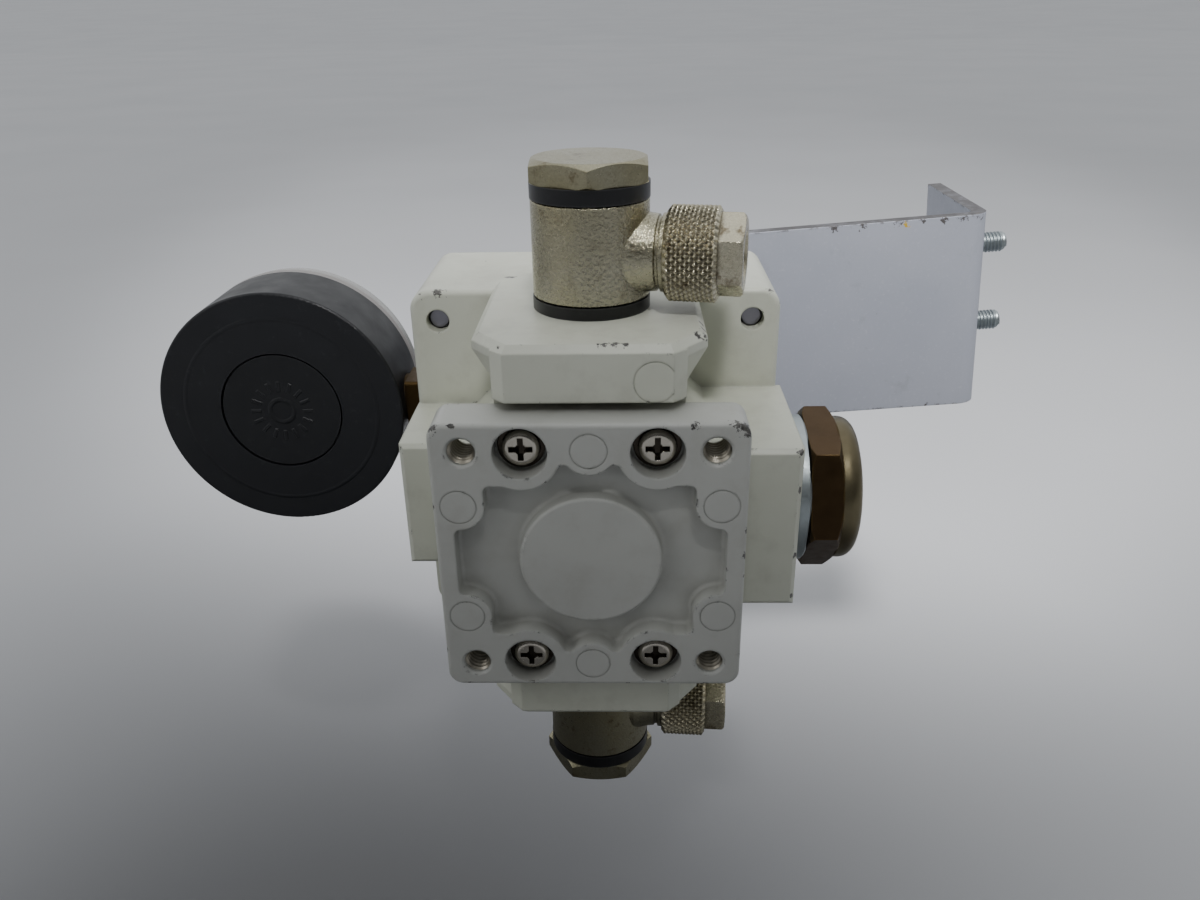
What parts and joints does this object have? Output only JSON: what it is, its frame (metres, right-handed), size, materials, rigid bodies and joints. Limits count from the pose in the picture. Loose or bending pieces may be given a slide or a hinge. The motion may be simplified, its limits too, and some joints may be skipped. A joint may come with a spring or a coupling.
{
  "type": "modular pressure regulator",
  "caption": "Cast air pressure regulator with two swivel port fittings, exhaust silencer, round side gauge, panel bracket and turning adjusting knob.",
  "frame": {"origin": "centre of the bottom cover's front face, where its four mounting holes are centred", "axes": "+X towards the exhaust port, +Y along the valve axis from the cover towards the knob, +Z towards the upper port"},
  "size_m": [0.2291, 0.172, 0.1429],
  "materials": {
    "valve_body": "powder coat",
    "bottom_cover": "powder coat",
    "cover_screws": "plated",
    "cover_seal": "moulded",
    "valve_seat": "machined",
    "valve_poppet": "machined",
    "poppet_pad": "moulded",
    "valve_spring": "drawn wire",
    "piston": "machined",
    "piston_ring": "moulded",
    "main_spring": "drawn wire",
    "bonnet": "moulded",
    "bonnet_screws": "black oxide",
    "spring_seat": "machined",
    "adjusting_screw": "machined",
    "knob": "moulded",
    "panel_nut": "moulded",
    "bracket": "painted sheet",
    "bracket_bolts": "zinc plated",
    "bracket_washers": "zinc plated",
    "lower_spacer": "nickel plated",
    "exhaust_washer": "zinc plated",
    "silencer_body": "dark bronze",
    "silencer_element": "sintered",
    "spare_port_plug": "nickel plated",
    "gauge_case": "moulded",
    "gauge_back_disc": "moulded",
    "gauge_stem": "machined",
    "bourdon_tube": "drawn tube",
    "gauge_movement": "stamped",
    "gauge_dial": "printed dial",
    "gauge_pointer": "painted",
    "gauge_ring": "moulded",
    "gauge_window": "clear",
    "upper_port_seal": "moulded",
    "upper_cap_seal": "moulded",
    "upper_banjo_bolt": "nickel plated",
    "upper_banjo_body": "nickel plated, blasted",
    "upper_union_nut": "nickel plated, knurled",
    "lower_port_seal": "moulded",
    "lower_cap_seal": "moulded",
    "lower_banjo_bolt": "nickel plated",
    "lower_banjo_body": "nickel plated, blasted",
    "lower_union_nut": "nickel plated, knurled"
  },
  "bodies": {
    "regulator": {"valve_body": "valve_body", "bottom_cover": "bottom_cover", "cover_screws": "cover_screws", "cover_seal": "cover_seal", "valve_seat": "valve_seat", "valve_spring": "valve_spring", "main_spring": "main_spring", "bonnet": "bonnet", "bonnet_screws": "bonnet_screws", "panel_nut": "panel_nut", "bracket": "bracket", "bracket_bolts": "bracket_bolts", "bracket_washers": "bracket_washers", "lower_spacer": "lower_spacer", "exhaust_washer": "exhaust_washer", "silencer_body": "silencer_body", "silencer_element": "silencer_element", "spare_port_plug": "spare_port_plug", "gauge_case": "gauge_case", "gauge_back_disc": "gauge_back_disc", "gauge_stem": "gauge_stem", "bourdon_tube": "bourdon_tube", "gauge_movement": "gauge_movement", "gauge_dial": "gauge_dial", "gauge_ring": "gauge_ring", "gauge_window": "gauge_window", "upper_port_seal": "upper_port_seal", "upper_cap_seal": "upper_cap_seal", "upper_banjo_bolt": "upper_banjo_bolt", "lower_port_seal": "lower_port_seal", "lower_cap_seal": "lower_cap_seal", "lower_banjo_bolt": "lower_banjo_bolt"},
    "poppet": {"valve_poppet": "valve_poppet", "poppet_pad": "poppet_pad"},
    "piston": {"piston": "piston", "piston_ring": "piston_ring"},
    "spring_seat": {"spring_seat": "spring_seat"},
    "knob": {"knob": "knob", "adjusting_screw": "adjusting_screw"},
    "pointer": {"gauge_pointer": "gauge_pointer"},
    "upper_swivel": {"upper_banjo_body": "upper_banjo_body"},
    "upper_nut": {"upper_union_nut": "upper_union_nut"},
    "lower_swivel": {"lower_banjo_body": "lower_banjo_body"},
    "lower_nut": {"lower_union_nut": "lower_union_nut"}
  },
  "joints": [
    {"name": "knob_turn", "type": "hinge", "parent": "regulator", "child": "knob", "pos_m": [0, 0.139, 0], "axis": [0, 1, 0], "range_deg": [-720, 720]},
    {"name": "spring_seat_travel", "type": "slide", "parent": "regulator", "child": "spring_seat", "axis": [0, 1, 0], "range_m": [-0.003, 0.003]},
    {"name": "piston_travel", "type": "slide", "parent": "regulator", "child": "piston", "axis": [0, 1, 0], "range_m": [-0.002, 0], "stiffness_N_per_m": 8000, "springref_m": 0.004, "deforming": ["main_spring"]},
    {"name": "poppet_travel", "type": "slide", "parent": "regulator", "child": "poppet", "axis": [0, 1, 0], "range_m": [-0.002, 0], "deforming": ["valve_spring"]},
    {"name": "pointer_turn", "type": "hinge", "parent": "regulator", "child": "pointer", "pos_m": [-0.0782, 0.084, 0.005], "axis": [0, -1, 0], "range_deg": [0, 270]},
    {"name": "upper_fitting_swivel", "type": "hinge", "parent": "regulator", "child": "upper_swivel", "pos_m": [0, 0.0315, 0.0519], "axis": [0, 0, 1], "continuous": true},
    {"name": "upper_nut_turn", "type": "hinge", "parent": "upper_swivel", "child": "upper_nut", "pos_m": [0.01963, 0.02768, 0.0519], "axis": [0.9816, -0.1908, 0], "continuous": true},
    {"name": "lower_fitting_swivel", "type": "hinge", "parent": "regulator", "child": "lower_swivel", "pos_m": [0, 0.0315, -0.0554], "axis": [0, 0, 1], "continuous": true},
    {"name": "lower_nut_turn", "type": "hinge", "parent": "lower_swivel", "child": "lower_nut", "pos_m": [0.01995, 0.0301, -0.0554], "axis": [0.9976, -0.0698, 0], "continuous": true}
  ],
  "couplings": [
    {"joint": "knob_turn", "follows": "spring_seat_travel", "rad_per_m": -4188.8},
    {"joint": "poppet_travel", "follows": "piston_travel", "ratio": 1}
  ]
}
